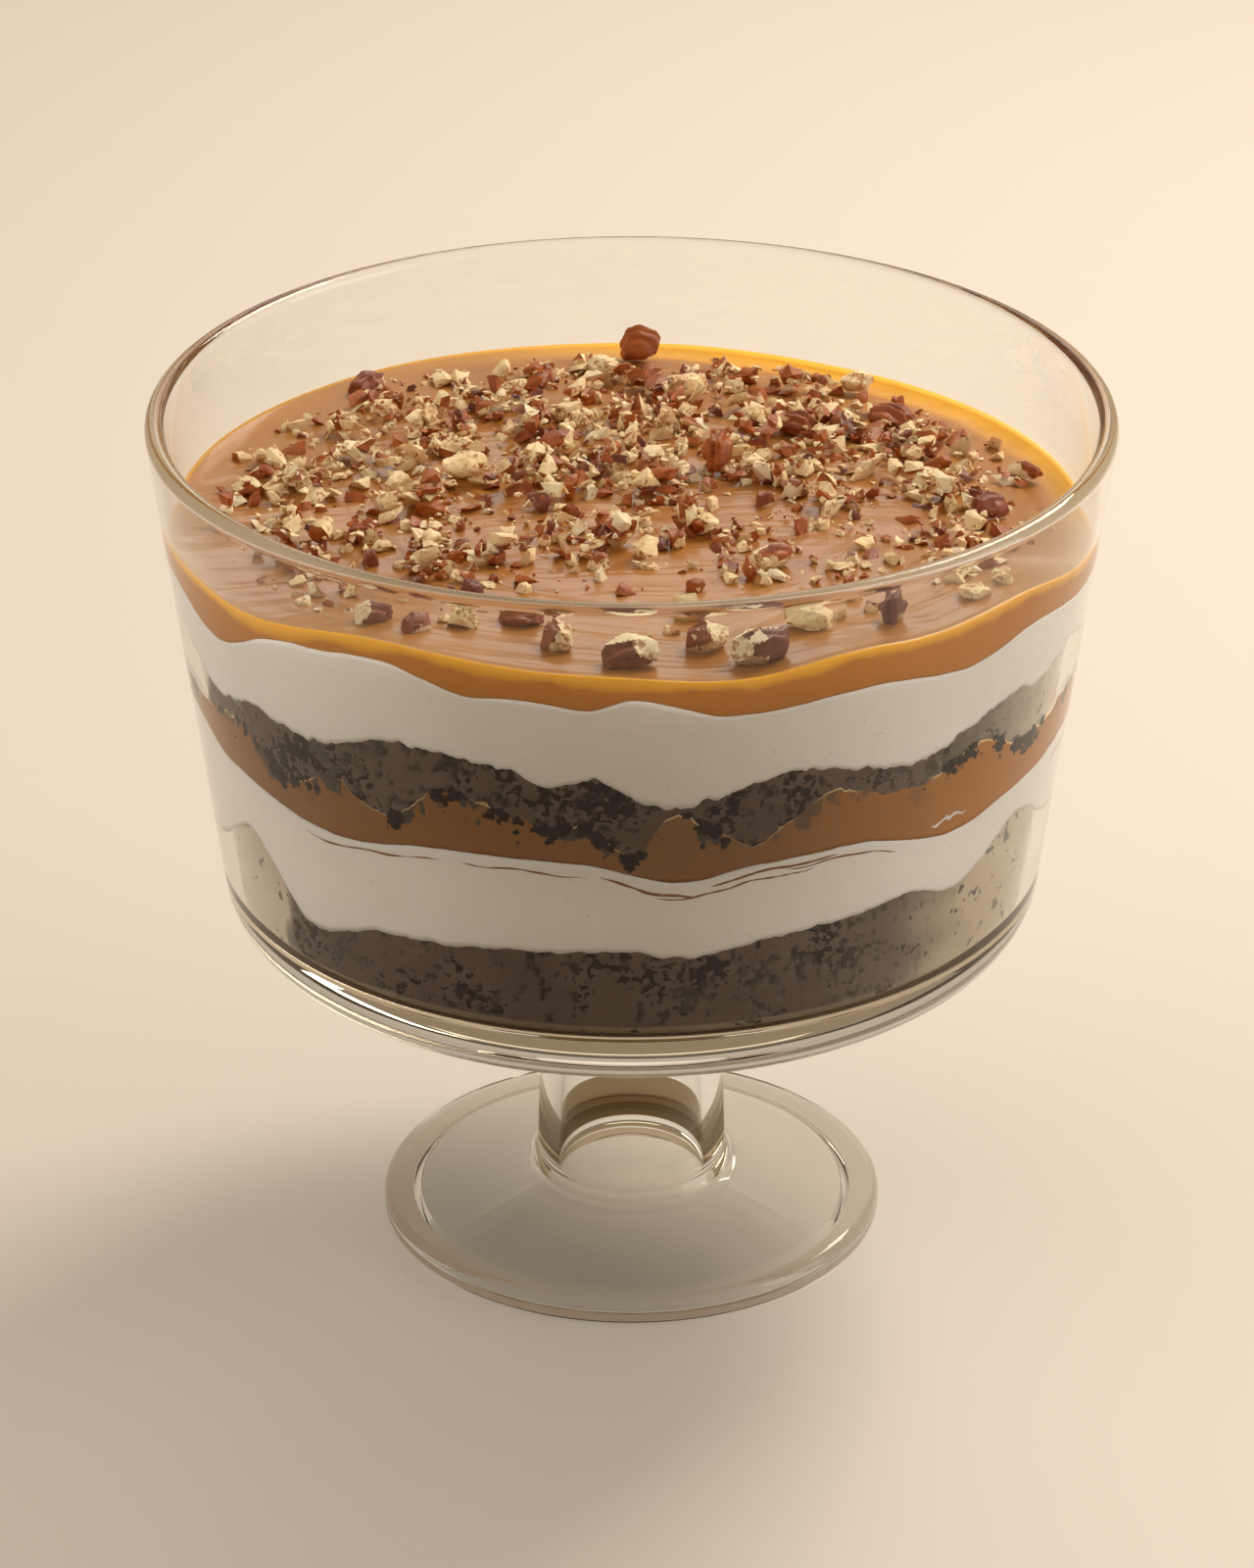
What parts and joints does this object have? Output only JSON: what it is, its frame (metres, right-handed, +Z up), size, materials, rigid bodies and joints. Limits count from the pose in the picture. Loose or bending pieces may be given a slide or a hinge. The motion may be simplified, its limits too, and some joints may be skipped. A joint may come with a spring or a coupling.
{
  "type": "trifle",
  "caption": "Footed glass bowl filled with a trifle: layers of brownie, cream and caramel show through the glass, and chopped pecans lie on top.",
  "frame": {"origin": "centre of the foot's underside, on the surface the bowl stands on", "axes": "+Z up along the bowl's axis, -Y towards the side that the picture shows, +X to the right in it"},
  "size_m": [0.2216, 0.2216, 0.207],
  "materials": {
    "clear_glass": "clear pressed glass, fire polished",
    "brownie": "moist dark crumb with pits",
    "cream": "smooth whipped cream, softly shining where it is pressed to the glass",
    "caramel": "thick poured caramel, glossy, with spoon strokes",
    "pecan": "chopped nut: red-brown ridged skin and pale broken flesh"
  },
  "bodies": {
    "root": {"glass_bowl": "clear_glass", "brownie_base": "brownie", "cream_lower": "cream", "caramel_middle": "caramel", "brownie_middle": "brownie", "cream_upper": "cream", "caramel_top": "caramel", "pecan_01": "pecan", "pecan_02": "pecan", "pecan_03": "pecan", "pecan_04": "pecan", "pecan_05": "pecan", "pecan_06": "pecan", "pecan_07": "pecan", "pecan_08": "pecan", "pecan_09": "pecan", "pecan_10": "pecan", "pecan_11": "pecan", "pecan_12": "pecan", "pecan_13": "pecan", "pecan_14": "pecan", "pecan_15": "pecan", "pecan_16": "pecan", "pecan_17": "pecan", "pecan_18": "pecan", "pecan_19": "pecan", "pecan_20": "pecan", "pecan_21": "pecan", "pecan_22": "pecan", "pecan_23": "pecan", "pecan_24": "pecan", "pecan_25": "pecan", "pecan_26": "pecan", "pecan_27": "pecan", "pecan_28": "pecan"}
  },
  "joints": []
}
